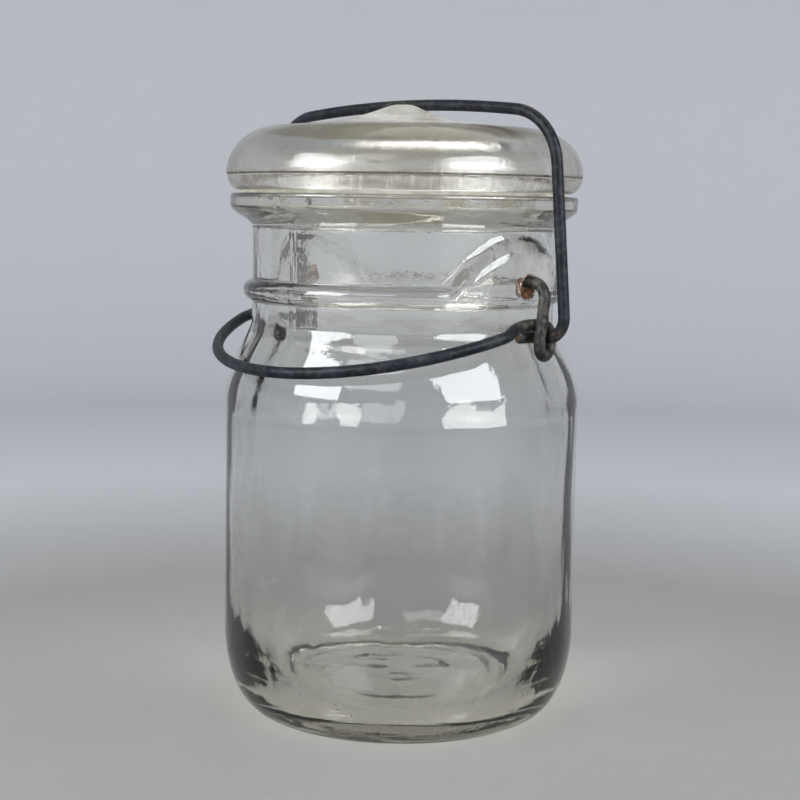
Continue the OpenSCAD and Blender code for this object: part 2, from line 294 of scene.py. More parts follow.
def add_pads(radius, height, u, v, on_neck):
    """Raises the two pads and sinks their dimples."""
    with_pad = smooth_max(radius, pad_radius(u, height), PAD_BLEND)
    radius = np.where(on_neck, with_pad, radius)
    hole = np.hypot(u, v)
    depth = 1 - smoothstep(hole, DIMPLE_R - DIMPLE_EDGE, DIMPLE_R)
    cup = DIMPLE_FLOOR + 0.5 * (hole / DIMPLE_R) ** 3
    in_hole = on_neck & (hole < DIMPLE_R + 1e-6)
    radius = np.where(in_hole, radius + (cup - radius) * depth, radius)
    mouth = 0.35 * np.exp(-((hole - DIMPLE_R) / 0.45) ** 2)
    return np.where(on_neck & (hole >= DIMPLE_R), radius - mouth, radius)


def add_seams(radius, angle, height, out):
    """Mould seams, in the plane x = 0."""
    off = np.abs(radius * np.cos(angle))
    seam = SEAM_HEIGHT * np.exp(-(off / SEAM_WIDTH) ** 2)
    seam *= smoothstep(height, 8, 16) * (1 - smoothstep(height, 119.3, 120.1))
    raised = np.minimum(seam, BODY_R - 0.02 - radius).clip(0)
    return radius + np.where(out & (radius > 20), raised, 0)


def age_walls(radius, angle, height, rows, out):
    """Old glass is uneven: a little outside, and more inside, in upright folds."""
    outer, inner, fine = waves(3, 18, 14, 0.05), waves(7, 26, 22, 0.06), waves(11, 30, 60, 0.35)
    bands = waves(13, 16, 7, 3.2)
    free = smoothstep(height, 14, 26) * (1 - smoothstep(height, 84, 92))  # from heel to shoulder
    dent = -0.14 * np.abs(outer(angle, height)) * free
    folds = 0.3 * inner(angle, height) * smoothstep(height, 22, 46) * (1 - smoothstep(height, 86, 95))
    folds = folds + 0.05 * inner(angle, height * 1.7) * (height > 95) * (height < 119)
    shoulder_bands = smoothstep(height, 84, 88) * (1 - smoothstep(height, 96, 99))
    folds = folds + 0.07 * bands(angle, height) * shoulder_bands
    ripple = 0.018 * fine(angle, height) * smoothstep(height, 16, 30)
    inner_wall = ~out & (rows[:, :1] > 26)
    radius = radius + np.where(out & (rows[:, :1] > 30), dent, 0) + np.where(inner_wall, folds, 0)
    return radius + np.where(inner_wall & (height < 119), ripple, 0)


def age_base(angle, height, rows, out):
    """The base's pressed rings, and its uneven floor inside."""
    flat_r = rows[:, :1]
    rings = sum(a * np.exp(-((flat_r - r) / w) ** 2) for r, w, a in BASE_RINGS)
    wobble = 1 + 0.5 * waves(19, 8, 5, 0)(angle, 0)
    height = height + np.where(out & (flat_r < 24), rings * wobble, 0)
    floor = 0.16 * waves(23, 12, 6, 0.2)(angle, flat_r * 2) * smoothstep(flat_r, 1.5, 8)
    in_floor = ~out & (rows[:, 1:] < 12)
    return height + np.where(in_floor, floor * (1 - smoothstep(flat_r, 27, 35)), 0)


def make_jar():
    """The jar, turned from its outline, with pads, dimples, seams and uneven walls."""
    rows, is_out, neck_z, neck_r = jar_rows()
    columns = jar_columns()
    radius, angle = np.meshgrid(rows[:, 0], columns, indexing="ij")
    height = np.repeat(rows[:, 1:], len(columns), 1)
    out = is_out[:, None] & np.ones_like(radius, bool)

    angle, height, u, v = draw_in(rows, angle, height, out)
    on_neck = out & (height > NECK_Z0) & (height < FLARE_Z1)
    radius = np.where(on_neck, np.interp(height, neck_z, neck_r), radius)
    radius = add_pads(radius, height, u, v, on_neck)
    radius = add_seams(radius, angle, height, out)
    radius = age_walls(radius, angle, height, rows, out)
    height = age_base(angle, height, rows, out)

    jar = turned("jar_glass", radius, angle, height)
    co = point_array(jar)
    from_hole = np.hypot(co[:, 1], co[:, 2] - DIMPLE_Z)
    near_hole = 1 - smoothstep(from_hole, DIMPLE_R + 0.05, DIMPLE_R + 0.5)
    stain = (np.abs(co[:, 0]) > DIMPLE_FLOOR - 0.5) * near_hole
    set_attribute(jar, "rust", stain * np.where(co[:, 0] < 0, LEFT_STAIN, 1))
    return jar


# ---- Lid ------------------------------------------------------------------------------------

# Radius and rise above the lid's edge, in front of the bail and behind it
BUMP_FRONT = [(24, 0.5), (18, 1.1), (13, 2.0), (8.4, 3.4), (6, 4.2), (4.2, 4.9), (2.6, 5.3)]
BUMP_REAR = [(22, 0.4), (14, 0.7), (10.3, 1.25), (9.1, 1.8), (6.8, 2.7), (4.4, 3.35), (2, 3.6)]
SPLIT_Y = HOOK_BACK - WIRE_R - 0.3  # where the step down to the rear shelf is
LID_LINE = LID_SEAM - 0.25  # the parting line's height
LID_SOFTNESS = 0.3


def lid_outline(bump, top):
    """From the middle of the hollow's roof, under the skirt, and up to the top's middle."""
    return [
        [(0, LID_HOLLOW_TOP)],
        arc((LID_SKIRT_IN - 6, LID_HOLLOW_TOP - 6), 6, 6, 90, 0, 30),
        [(LID_SKIRT_IN, LID_BOTTOM), (LID_FOOT_R, LID_BOTTOM)],
        arc((LID_FOOT_R, LID_SEAM), LID_R - LID_FOOT_R, LID_SEAM - LID_BOTTOM, -75, 0, 30),
        arc((LID_EDGE_R, LID_SEAM), LID_R - LID_EDGE_R, LID_EDGE_Z - LID_SEAM, 1, 90, 60),
        [(r, LID_EDGE_Z + rise) for r, rise in bump],
        [(0, top)],
    ]


def make_lid():
    """The lid, turned from its front outline, with the lower shelf behind the bail."""
    front = soften(lid_outline(BUMP_FRONT, BUMP_TOP), LID_SOFTNESS)
    rear = soften(lid_outline(BUMP_REAR, SHELF_TOP), LID_SOFTNESS)
    rows = thin(front, longest=0.9)
    widest = np.argmax(rows[:, 0])
    top = (np.arange(len(rows)) > widest) & (rows[:, 0] < LID_EDGE_R)
    rear_top = (np.arange(len(rear)) > np.argmax(rear[:, 0])) & (rear[:, 0] < LID_EDGE_R + 2)
    shelf = np.interp(rows[:, 0], rear[rear_top, 0][::-1], rear[rear_top, 1][::-1])

    columns = np.linspace(0, 2 * math.pi, 721)[:-1]
    radius, angle = np.meshgrid(rows[:, 0], columns, indexing="ij")
    height = np.repeat(rows[:, 1:], len(columns), 1)
    y = radius * np.sin(angle)
    is_rear = smoothstep(y, SPLIT_Y - 0.25, SPLIT_Y + 0.25)
    height = np.where(top[:, None], height + (shelf - rows[:, 1])[:, None] * is_rear, height)

    # Outside: the parting line, a slight step under it with upright marks, and dents over it
    outer = radius > LID_SKIRT_IN + 1
    chip = 0.6 + 0.4 * waves(31, 24, 90, 0)(angle, 0)
    line = -0.16 * np.exp(-((height - LID_LINE) / 0.16) ** 2) * chip
    line = line - 0.22 * (1 - smoothstep(height, LID_SEAM - 0.4, LID_SEAM - 0.1))
    marks = 0.05 * waves(37, 40, 260, 0)(angle, 0) * smoothstep(height, LID_BOTTOM + 0.6, LID_BOTTOM + 1.4)
    marks = marks * (1 - smoothstep(height, LID_SEAM - 0.6, LID_SEAM - 0.2))
    dent = 0.05 * waves(41, 16, 16, 0.2)(angle, height) - 0.05
    crown = smoothstep(height, LID_SEAM + 1, LID_SEAM + 3) * smoothstep(radius, 26, 31)
    radius = radius + np.where(outer, line + np.minimum(marks, 0.0) + dent * crown, 0)

    # Inside: the skirt and the roof are uneven
    hollow = 0.06 * waves(43, 14, 9, 0.2)(angle, height)
    skirt = ~outer & (height < LID_HOLLOW_TOP - 1) & (radius > 20)
    radius = radius + np.where(skirt, hollow, 0)
    flat_r = rows[:, :1]
    off_axis = smoothstep(flat_r, 1, 8)
    under = 0.12 * waves(47, 10, 5, 0.3)(angle, flat_r * 2) * off_axis
    is_roof = (np.arange(len(rows)) < widest)[:, None] & (height > LID_HOLLOW_TOP - 0.5)
    height = height + np.where(is_roof, under - 0.1 * off_axis, 0)
    return turned("lid_glass", radius, angle, height)


# ---- Rubber ring ------------------------------------------------------------------------------

def make_ring():
    """A flat ring with rounded corners and slightly bulging edges."""
    low = LEDGE_TOP - GROOVE_D
    corner, bulge = 0.25, 0.12
    outer, inner = RING_OUT - corner - bulge, RING_IN + corner + bulge
    bottom, middle, top = low + corner, low + RING_T / 2, low + RING_T - corner
    outline = np.vstack([
        arc((outer, bottom), corner, corner, -90, 0, 6),
        arc((RING_OUT - bulge, middle), bulge, RING_T / 2 - corner, -90, 90, 10),
        arc((outer, top), corner, corner, 0, 90, 6),
        arc((inner, top), corner, corner, 90, 180, 6),
        arc((RING_IN + bulge, middle), bulge, RING_T / 2 - corner, 90, 270, 10),
        arc((inner, bottom), corner, corner, 180, 270, 6),
    ])
    columns = np.linspace(0, 2 * math.pi, 361)[:-1]
    radius, angle = np.meshgrid(outline[:, 0], columns, indexing="ij")
    height = np.repeat(outline[:, 1:], len(columns), 1)
    uneven = 0.03 * waves(53, 20, 40, 0)(angle, 0)
    return turned("seal_ring_rubber", radius + uneven.clip(-0.05, 0.05), angle, height, poles=False)


# ---- Wires ------------------------------------------------------------------------------------

X = np.array([1.0, 0, 0])
Y = np.array([0, 1.0, 0])
Z = np.array([0, 0, 1.0])


def unit(v):
    return v / np.linalg.norm(v)


def sind(a):
    return math.sin(math.radians(a))


def cosd(a):
    return math.cos(math.radians(a))


class WirePath:
    """The middle line of a bent wire: points no more than about a millimetre apart."""

    def __init__(self, start):
        self.points = [np.asarray(start, float)]

    def straight(self, end):
        start = self.points[-1]
        steps = max(1, round(np.linalg.norm(end - start)))
        self.points += [start + (end - start) * i / steps for i in range(1, steps + 1)]

    def bend(self, centre, u, v, radius, angle):
        """Round centre, from centre + radius * u, setting off along v."""
        steps = max(3, round(max(angle / 5, math.radians(angle) * radius)))
        for i in range(1, steps + 1):
            a = angle * i / steps
            self.points.append(centre + radius * (cosd(a) * u + sind(a) * v))

    def whole(self):
        """This half from the middle outwards to its end, with its mirror image before it."""
        half = np.array(self.points)
        return np.vstack([half[::-1] * [-1, 1, 1], half[1:]])


def lever_path():
    """Bends of the CAD's lever, from a pivot end through the eye to the middle of the handle."""
    strand_x, eye_r, eye_slack, eye_shift = 42.4, 2.79, 1.05, 2.7
    pivot_bend, stub_end = 4, 34.9
    arm_r, droop, droop_r = 16, 15.6, 12
    handle_w, reach = 41.2, 38
    flare_r, flare_a = 9, 25

    strand = math.sqrt(HOOK_DROP ** 2 + HOOK_BACK ** 2 - eye_r ** 2)
    lean = math.degrees(math.atan2(eye_r, strand) - math.atan2(HOOK_BACK, HOOK_DROP))
    down, across = -sind(lean) * Y - cosd(lean) * Z, cosd(lean) * Y - sind(lean) * Z
    pivot = PIVOT_Z * Z
    path = WirePath(pivot + stub_end * X)
    path.straight(pivot + (strand_x - pivot_bend) * X)
    path.bend(pivot + (strand_x - pivot_bend) * X + pivot_bend * down, -down, X, pivot_bend, 90)
    foot = pivot + strand_x * X + (strand + eye_slack) * down
    path.straight(foot)

    # Once round the eye, moving inwards
    back = foot - eye_shift / 2 * X + 2 * eye_r * across
    low = (foot + back) / 2
    turn_r = np.linalg.norm(foot - low)
    path.bend(low, unit(foot - low), down, turn_r, 180)
    rise = back - eye_slack * down
    path.straight(rise)
    top = rise - eye_shift / 4 * X - eye_r * across
    u = unit(rise - top)
    over = math.degrees(math.atan(np.linalg.norm(u[1:]) * math.tan(math.radians(lean))))
    path.bend(top, u, -down, turn_r, 90 + over)
    start = path.points[-1]
    head = -sind(90 + over) * u - cosd(90 + over) * down
    inwards = math.degrees(math.atan2(-head[0], -head[1]))

    # The arm, and the round handle in a plane that slopes down
    centre = start + arm_r * (cosd(inwards) * X - sind(inwards) * Y)
    path.bend(centre, -cosd(inwards) * X + sind(inwards) * Y,
              -sind(inwards) * X - cosd(inwards) * Y, arm_r, inwards)
    level = centre - arm_r * X
    path.bend(level - droop_r * Z, Z, -Y, droop_r, droop)
    base = path.points[-1]
    slope = -cosd(droop) * Y - sind(droop) * Z

    def on_slope(x, v):
        return base + (x - base[0]) * X + v * slope

    path.bend(on_slope(base[0] + flare_r, 0), -X, slope, flare_r, flare_a)
    end_x, end_v = base[0] + flare_r * (1 - cosd(flare_a)), flare_r * sind(flare_a)
    side_r = (handle_w - end_x) / (1 - cosd(flare_a))
    side_x, side_v = handle_w - side_r, end_v + side_r * sind(flare_a)
    m = reach - side_v
    front_r = (m ** 2 + side_x ** 2 - side_r ** 2) / (2 * (m - side_r))
    front_v = reach - front_r
    front_a = math.degrees(math.atan2(side_x, side_v - front_v))
    path.bend(on_slope(side_x, side_v), cosd(flare_a) * X - sind(flare_a) * slope,
              sind(flare_a) * X + cosd(flare_a) * slope, side_r, 90 - front_a + flare_a)
    path.bend(on_slope(0, front_v), sind(front_a) * X + cosd(front_a) * slope,
              -cosd(front_a) * X + sind(front_a) * slope, front_r, front_a)
    path.points.reverse()
    return path.whole()


def bail_path():
    """Bends of the CAD's bail, from the middle of the bar to a hook's end."""
    bar_z, crown_r, bar_half = 141.0, 320, 32.1
    corner_r, lean, foot_r = 13, 5, 4.6
    tail_x, tail_r, tail_turn, tail_len = 40.3, 2.2, 84, 2.6

    middle = HOOK_BACK * Y + bar_z * Z
    crown_a = math.degrees(math.asin(bar_half / crown_r))
    path = WirePath(middle)
    path.bend(middle - crown_r * Z, Z, X, crown_r, crown_a)
    u, v = sind(crown_a) * X + cosd(crown_a) * Z, cosd(crown_a) * X - sind(crown_a) * Z
    corner = path.points[-1] - corner_r * u
    path.bend(corner, u, v, corner_r, 90 - crown_a - lean)
    out, down = cosd(lean) * X + sind(lean) * Z, sind(lean) * X - cosd(lean) * Z
    leg_top = path.points[-1]
    hook_z = PIVOT_Z - HOOK_DROP
    foot_z = hook_z + foot_r * (1 + sind(lean))
    foot = leg_top + (leg_top[2] - foot_z) / cosd(lean) * down
    path.straight(foot)
    path.bend(foot - foot_r * out, out, down, foot_r, 90 + lean)
    tail = tail_x * X + HOOK_BACK * Y + hook_z * Z
    path.straight(tail)
    path.bend(tail - tail_r * Y, Y, -X, tail_r, tail_turn)
    path.straight(path.points[-1] + tail_len * (-cosd(tail_turn) * X - sind(tail_turn) * Y))
    return path.whole()


CUT_CHAMFER = 0.22
SKIN_UNEVEN = 0.004  # as a share of the wire's radius


def sweep(name, path, seed, sides=28):
    """A tube along path with hand-cut ends. Its skin is a little uneven, and never outside WIRE_R."""
    rng = np.random.default_rng(seed)
    tangent = np.gradient(path, axis=0)
    tangent /= np.linalg.norm(tangent, axis=1)[:, None]
    normal = unit(np.cross(tangent[0], [0.3, 0.2, 0.9]))
    normals = []
    for t in tangent:
        normal = unit(normal - (normal @ t) * t)
        normals.append(normal)
    normals = np.array(normals)
    other = np.cross(tangent, normals)
    s = along(path)
    length = s[-1]

    # Three rings at each end: one on the cut face, its edge, and the foot of a small chamfer
    middle = s[(s > 0.6) & (s < length - 0.6)]
    at = np.concatenate([[0, 0, CUT_CHAMFER], middle, [length - CUT_CHAMFER, length, length]])
    scale = np.ones(len(at))
    scale[[1, -2]] = 1 - CUT_CHAMFER / WIRE_R
    scale[[0, -1]] = 0.55
    centre, n, b = (np.stack([np.interp(at, s, row[:, i]) for i in range(3)], 1)
                    for row in (path, normals, other))
    n /= np.linalg.norm(n, axis=1)[:, None]
    b /= np.linalg.norm(b, axis=1)[:, None]
    a = np.linspace(0, 2 * np.pi, sides + 1)[:-1]
    uneven = np.zeros((len(at), sides))
    for _ in range(14):
        k, m, p = rng.uniform(0.05, 1.1), rng.integers(0, 4), rng.uniform(0, 2 * np.pi)
        uneven += np.cos(k * at[:, None] + m * a[None] + p)
    r = WIRE_R * (1 + SKIN_UNEVEN * (np.clip(uneven / 2.6, -2.5, 2.5) - 3)) * scale[:, None]
    cos_a, sin_a = np.cos(a)[None, :, None], np.sin(a)[None, :, None]
    ring = centre[:, None] + r[..., None] * (cos_a * n[:, None] + sin_a * b[:, None])
    index = np.arange(len(at) * sides).reshape(len(at), sides)
    beside = np.roll(index, -1, 1)
    faces = np.stack([index[:-1], beside[:-1], beside[1:], index[1:]], 2).reshape(-1, 4).tolist()
    faces += [index[0][::-1].tolist(), index[-1].tolist()]
    return new_object(name, ring.reshape(-1, 3), faces)


def make_lever():
    """The lever, rusty in the dimples and at the eyes, and rubbed along the strands."""
    lever = sweep("lever_wire_steel", lever_path(), 61)
    co = point_array(lever)
    at_pivot = 1 - smoothstep(np.abs(co[:, 0]), 36.5, 40.0)
    at_pivot = at_pivot * (np.hypot(co[:, 1], co[:, 2] - PIVOT_Z) < 2.2)
    from_hook = np.hypot(co[:, 1] - HOOK_BACK, co[:, 2] - (PIVOT_Z - HOOK_DROP))
    at_eye = (1 - smoothstep(from_hook, 1.0, 3.0)) * (np.abs(co[:, 0]) > 34)
    set_attribute(lever, "rust", np.clip(at_pivot + 0.45 * at_eye, 0, 1))
    worn = smoothstep(co[:, 2], 84, 88) * smoothstep(np.abs(co[:, 0]), 37.5, 39.5) * (co[:, 1] > -8)
    set_attribute(lever, "worn", worn)
    return lever


def make_bail():
    """The bail, rusty and rubbed at the hooks, and rubbed where the bar crosses the bump."""
    bail = sweep("bail_wire_steel", bail_path(), 67)
    co = point_array(bail)
    hook = 1 - smoothstep(co[:, 2], 90.2, 94.0)
    set_attribute(bail, "rust", 0.5 * hook)
    on_bump = np.exp(-(co[:, 0] / 7) ** 2) * (co[:, 2] > 130) * 0.6
    set_attribute(bail, "worn", np.clip(0.55 * hook + on_bump, 0, 1))
    return bail


# ---- Materials ----------------------------------------------------------------------------------

class Nodes:
    """Short forms for building one material's node tree. Lengths in it are in metres."""

    def __init__(self, name):
        self.material = bpy.data.materials.new(name)
        self.material.use_nodes = True
        self.tree = self.material.node_tree
        self.tree.nodes.clear()
        self.output = self.tree.nodes.new("ShaderNodeOutputMaterial")
        self.position = self.tree.nodes.new("ShaderNodeTexCoord").outputs["Object"]

    def add(self, kind, **inputs):
        """A new node. Each input is a constant or another node's output."""
        node = self.tree.nodes.new(kind)
        for key, value in inputs.items():
            self.set(node, key.replace("_", " "), value)
        return node

    def set(self, node, key, value):
        socket = node.inputs[int(key)] if key.isdigit() else node.inputs[key]
        if isinstance(value, bpy.types.NodeSocket):
            self.tree.links.new(value, socket)
        else:
            socket.default_value = value

    def math(self, operation, a, b=0.0):
        node = self.tree.nodes.new("ShaderNodeMath")
        node.operation = operation
        self.set(node, "0", a)
        self.set(node, "1", b)
        return node.outputs[0]

    def stretched(self, x, y, z):
        node = self.add("ShaderNodeMapping", Vector=self.position, Scale=(x, y, z))
        return node.outputs[0]

    def noise(self, scale, detail=3.0, rough=0.55, vector=None):
        vector = vector or self.position
        node = self.add("ShaderNodeTexNoise", Vector=vector, Scale=scale, Detail=detail, Roughness=rough)
        return node.outputs["Fac"]

    def ramp(self, value, *stops):
        """Colours or greys at places along value, each (place, colour)."""
        node = self.add("ShaderNodeValToRGB", Fac=value)
        bar = node.color_ramp
        while len(bar.elements) < len(stops):
            bar.elements.new(0.5)
        for element, (place, colour) in zip(bar.elements, stops):
            element.position = place
            element.color = (*((colour,) * 3 if isinstance(colour, (int, float)) else colour), 1)
        return node.outputs["Color"]

    def rise(self, value, low, high):
        """0 where value is low, 1 where it is high, and even between them. A ramp is too coarse for this."""
        return self.add("ShaderNodeMapRange", Value=value, From_Min=low, From_Max=high).outputs[0]

    def principled(self, colour, rough, normal, **more):
        node = self.add("ShaderNodeBsdfPrincipled", Base_Color=colour, Roughness=rough, Normal=normal, **more)
        return node.outputs[0]

    def mix(self, factor, a, b):
        node = self.tree.nodes.new("ShaderNodeMix")
        node.data_type = "RGBA"
        self.set(node, "0", factor)
        self.set(node, "6", a)
        self.set(node, "7", b)
        return node.outputs[2]

    def mix_shader(self, factor, a, b):
        node = self.tree.nodes.new("ShaderNodeMixShader")
        for i, value in enumerate((factor, a, b)):
            self.set(node, str(i), value)
        return node.outputs[0]

    def attribute(self, name):
        node = self.tree.nodes.new("ShaderNodeAttribute")
        node.attribute_name = name
        return node.outputs["Fac"]

    def bump(self, height, strength, distance, normal=None):
        node = self.add("ShaderNodeBump", Strength=strength, Distance=distance, Height=height)
        if normal is not None:
            self.set(node, "Normal", normal)
        return node.outputs[0]

    def finish(self, surface, volume=None):
        self.tree.links.new(surface, self.output.inputs["Surface"])
        if volume is not None:
            self.tree.links.new(volume, self.output.inputs["Volume"])
        return self.material


RUST_DARK = (0.022, 0.010, 0.006)
RUST_MID = (0.075, 0.028, 0.011)
RUST_LIGHT = (0.21, 0.075, 0.022)

# Pairs of colours that a noise mixes
BODY_GLASS = (0.885, 0.888, 0.888, 1), (0.83, 0.833, 0.83, 1)
NECK_GLASS = (0.99, 0.99, 0.98, 1), (0.965, 0.966, 0.95, 1)
LID_GLASS = (0.965, 0.965, 0.955, 1), (0.90, 0.90, 0.885, 1)
DUST = (0.62, 0.6, 0.54, 1), (0.42, 0.4, 0.36, 1)
GRIME = (0.03, 0.024, 0.018, 1), (0.09, 0.075, 0.055, 1)
WORN_STEEL = (0.007, 0.0075, 0.0075, 1), (0.06, 0.059, 0.05, 1)
# Painted shade: the floor round the jar gets a darker colour than the floor further out
SHADED_NEAR_FLOOR = (0.20, 0.199, 0.197, 1), (0.17, 0.169, 0.167, 1)
FAR_FLOOR = (0.37, 0.375, 0.395, 1)

# What the glass takes out of the light inside it: the colour that is left, and how fast
JAR_ABSORBS = (0.74, 0.715, 0.62, 1), 38
LID_ABSORBS = (0.76, 0.725, 0.62, 1), 34
LID_HAZE = 0.13
GLASS_SHADOW = (0.93, 0.93, 0.905, 1)


def lid_dust(m, height):
    """Fine upright scratches under the parting line, and dust settled on the lid's top."""
    scratches = m.ramp(m.noise(1, 4, 0.65, m.stretched(1600, 1600, 60)), (0.46, 0.0), (0.66, 0.3))
    skirt = m.math("MULTIPLY", scratches, m.rise(height, LID_LINE * MM, (LID_LINE - 0.4) * MM))
    settled = m.math("MULTIPLY", m.rise(height, (LID_EDGE_Z - 0.4) * MM, (LID_EDGE_Z + 0.6) * MM),
                     m.ramp(m.noise(140, 5, 0.65), (0.3, 0.2), (0.7, 0.5)))
    return m.math("MAXIMUM", skirt, settled)


def grimy_line(m, surface, height, grain, normal):
    """The surface with broken grime along the lid's parting line."""
    off_line = m.math("ABSOLUTE", m.math("SUBTRACT", height, LID_LINE * MM))
    broken = m.math("MULTIPLY", m.rise(off_line, 0.34 * MM, 0.14 * MM),
                    m.ramp(m.noise(260, 4, 0.7), (0.34, 0.55), (0.5, 1.0)))
    return m.mix_shader(broken, surface, m.principled(m.mix(grain, *GRIME), 0.9, normal))


def rusty_dimples(m, surface):
    """The surface with rust where the mesh's rust attribute has it."""
    patches = m.ramp(m.noise(900, 4, 0.6), (0.32, RUST_DARK), (0.5, RUST_MID), (0.66, RUST_LIGHT))
    stain = m.principled(patches, 0.85, m.bump(m.noise(1500, 4, 0.6), 0.8, 0.0003))
    spread = m.ramp(m.noise(1100, 3, 0.6), (0.38, 0.25), (0.52, 1.0))
    return m.mix_shader(m.math("MULTIPLY", m.attribute("rust"), spread), surface, stain)


def glass(name, absorbs, density, is_lid=False, haze=0.0):
    """Old pressed glass: nearly clear, straw-grey where it is thick, wavy, and a little dusty.
    The jar's is clearer at the neck. The lid's has upright brush marks and more haze."""
    m = Nodes(name)
    upright = m.stretched(1, 1, 0.3)
    grain = m.noise(420, 3, 0.6)
    height = m.add("ShaderNodeSeparateXYZ", Vector=m.position).outputs["Z"]
    normal = m.bump(m.noise(90, 2, 0.5, upright), 0.35, 0.0006)
    grainy = m.math("ADD", 0.25, m.math("MULTIPLY", m.rise(height, 0.088, 0.095), 0.2))
    normal = m.bump(grain, grainy, 0.00012, normal)
    film = m.ramp(m.noise(60, 5, 0.65, upright), (0.42, haze), (0.62, haze + 0.05), (0.8, haze + 0.12))
    if is_lid:
        brushed = m.noise(1, 4, 0.65, m.stretched(1400, 1400, 110))
        normal = m.bump(brushed, 0.5, 0.00007, normal)
        tint = m.mix(m.noise(50, 4, 0.6), *LID_GLASS)
    else:
        clouds = m.noise(35, 3, 0.5)
        tint = m.mix(m.rise(height, 0.074, 0.092), m.mix(clouds, *BODY_GLASS), m.mix(clouds, *NECK_GLASS))
    clear = m.principled(tint, film, normal, IOR=1.5, Transmission_Weight=1.0)

    seeds = m.math("MULTIPLY", m.noise(900, 2, 0.6), m.noise(70, 4, 0.6))
    dusty = m.math("MULTIPLY", m.ramp(seeds, (0.30, 0.0), (0.46, 0.5)), 0.12)
    if is_lid:
        dusty = m.math("MAXIMUM", dusty, lid_dust(m, height))
    surface = m.mix_shader(dusty, clear, m.principled(m.mix(grain, *DUST), 0.8, normal))
    if is_lid:
        surface = grimy_line(m, surface, height, grain, normal)
    else:
        surface = rusty_dimples(m, surface)

    # Shadow rays go straight through, because caustics would take very many samples
    pale = m.add("ShaderNodeBsdfTransparent", Color=GLASS_SHADOW)
    shadow = m.tree.nodes.new("ShaderNodeLightPath").outputs["Is Shadow Ray"]
    surface = m.mix_shader(shadow, surface, pale.outputs[0])
    volume = m.add("ShaderNodeVolumeAbsorption", Color=absorbs, Density=density)
    return m.finish(surface, volume.outputs[0])


def steel(name, shift):
    """Weathered wire: a dark blue-grey skin, paler rubbed patches, and rust in the joints.
    The shift makes two wires' patches differ."""
    m = Nodes(name)
    place = m.add("ShaderNodeMapping", Vector=m.position, Location=(shift, 0, 0)).outputs[0]
    broad = m.noise(110, 4, 0.6, place)
    fine = m.noise(700, 5, 0.65, place)
    pits = m.noise(2200, 3, 0.6, place)
    skin = m.ramp(broad, (0.30, (0.003, 0.004, 0.006)), (0.5, (0.006, 0.0075, 0.011)),
                  (0.70, (0.018, 0.021, 0.027)))
    skin = m.mix(m.ramp(fine, (0.48, 0.0), (0.72, 0.5)), skin, (0.06, 0.064, 0.067, 1))
    worn = m.math("MULTIPLY", m.attribute("worn"), m.ramp(fine, (0.25, 0.45), (0.6, 1.0)))
    skin = m.mix(worn, skin, m.mix(m.ramp(fine, (0.36, 0.0), (0.64, 1.0)), *WORN_STEEL))

    rust = m.ramp(m.noise(1300, 5, 0.65, place), (0.35, RUST_DARK), (0.52, RUST_MID), (0.68, RUST_LIGHT))
    spots = m.math("MULTIPLY", m.noise(240, 4, 0.7, place), m.noise(1500, 3, 0.6, place))
    joints = m.math("MULTIPLY", m.attribute("rust"),
                    m.ramp(m.noise(600, 4, 0.6, place), (0.46, 0.0), (0.60, 0.8)))
    rusty = m.math("MAXIMUM", m.ramp(spots, (0.36, 0.0), (0.43, 0.7)), joints)

    rough = m.math("ADD", m.math("MULTIPLY", fine, 0.35), m.math("MULTIPLY", rusty, 0.3))
    rough = m.math("ADD", rough, 0.26)
    metal = m.math("MULTIPLY", m.math("SUBTRACT", 1.0, rusty), 0.12)
    normal = m.bump(pits, 0.3, 0.00006, m.bump(fine, 0.35, 0.00016))
    return m.finish(m.principled(m.mix(rusty, skin, rust), rough, normal, Metallic=metal,
                                 Specular_IOR_Level=0.14))


def rubber():
    """Aged, pale and matt."""
    m = Nodes("aged_rubber")
    colour = m.ramp(m.noise(260, 5, 0.6), (0.35, (0.17, 0.16, 0.138)), (0.65, (0.29, 0.275, 0.24)))
    rough = m.ramp(m.noise(500), (0.3, 0.6), (0.7, 0.85))
    return m.finish(m.principled(colour, rough, m.bump(m.noise(1200, 4, 0.6), 0.4, 0.0002)))


def pale_floor():
    """Pale, with painted shade that makes it a little darker round the jar than towards the wall."""
    m = Nodes("pale_floor")
    away = m.tree.nodes.new("ShaderNodeVectorMath")
    away.operation = "LENGTH"
    m.tree.links.new(m.position, away.inputs[0])
    # Painted shade round the jar, fading to the pale floor between 0.15 and 0.34 m out
    to_wall = m.ramp(away.outputs["Value"], (0.15, 0.0), (0.34, 1.0))
    colour = m.mix(to_wall, m.mix(m.noise(9, 5, 0.6), *SHADED_NEAR_FLOOR), FAR_FLOOR)
    return m.finish(m.principled(colour, 0.85, m.bump(m.noise(300, 4, 0.6), 0.15, 0.0004)))


# ---- Stage, light and camera ------------------------------------------------------------------------

FLOOR_R, FLOOR_CURVE, WALL_TOP = 600, 300, 560


def make_stage():
    """A round pale floor that curves up into a low wall, the same from every side."""
    outline = np.vstack([
        [(0, 0)], [(r, 0) for r in range(50, FLOOR_R, 50)],
        arc((FLOOR_R, FLOOR_CURVE), FLOOR_CURVE, FLOOR_CURVE, -90, 0, 24), [(FLOOR_R + FLOOR_CURVE, WALL_TOP)],
    ])
    columns = np.linspace(0, 2 * math.pi, 129)[:-1]
    cols = len(columns)
    grid = np.stack([np.outer(outline[:, 0], np.cos(columns)), np.outer(outline[:, 0], np.sin(columns)),
                     np.repeat(outline[:, 1:], cols, 1)], 2).reshape(-1, 3)
    index = np.arange(len(outline) * cols).reshape(-1, cols)
    beside = np.roll(index, -1, 1)
    faces = np.stack([index[:-1], index[1:], beside[1:], beside[:-1]], 2).reshape(-1, 4)
    faces = [f if f[0] >= cols else [0, f[1], f[2]] for f in faces.tolist()]
    stage = new_object("studio_floor", grid, faces)
    stage.data.materials.append(pale_floor())


